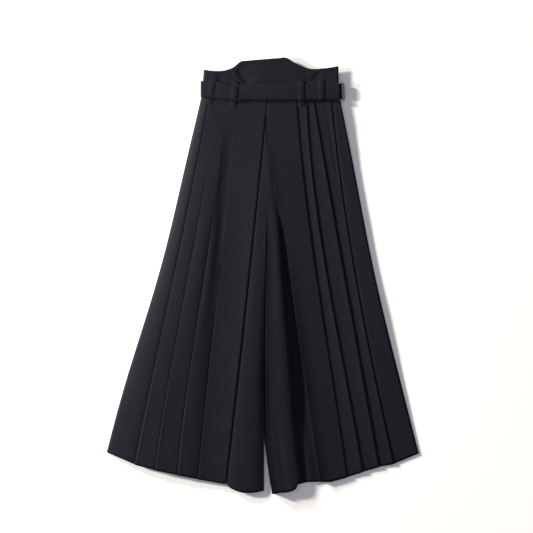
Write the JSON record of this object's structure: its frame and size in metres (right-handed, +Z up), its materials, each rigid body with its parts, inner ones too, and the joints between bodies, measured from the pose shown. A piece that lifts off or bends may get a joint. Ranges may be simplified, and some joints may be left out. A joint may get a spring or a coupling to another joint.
{
  "type": "wide pleated trousers",
  "caption": "Wide-legged knife-pleated trousers lying flat, front up, with a raised shaped waist, a looped self-fabric belt ending in a metal ring, and an open inverted pleat.",
  "frame": {"origin": "on the surface that the garment lies on, under the middle of its bounding box", "axes": "+Z up out of the cloth's front face, +Y from the hems towards the waist, +X towards the wearer's left"},
  "size_m": [0.7497, 1.0445, 0.0129],
  "materials": {
    "suiting": "matte, finely woven, navy black",
    "gunmetal": "dark, satin"
  },
  "bodies": {
    "root": {"right_front_leg": "suiting", "left_front_leg": "suiting", "right_back_leg": "suiting", "left_back_leg": "suiting", "front_waist": "suiting", "back_waist": "suiting", "belt": "suiting", "belt_loop_1": "suiting", "belt_loop_2": "suiting", "belt_loop_3": "suiting", "belt_loop_4": "suiting", "belt_ring": "gunmetal"}
  },
  "joints": []
}
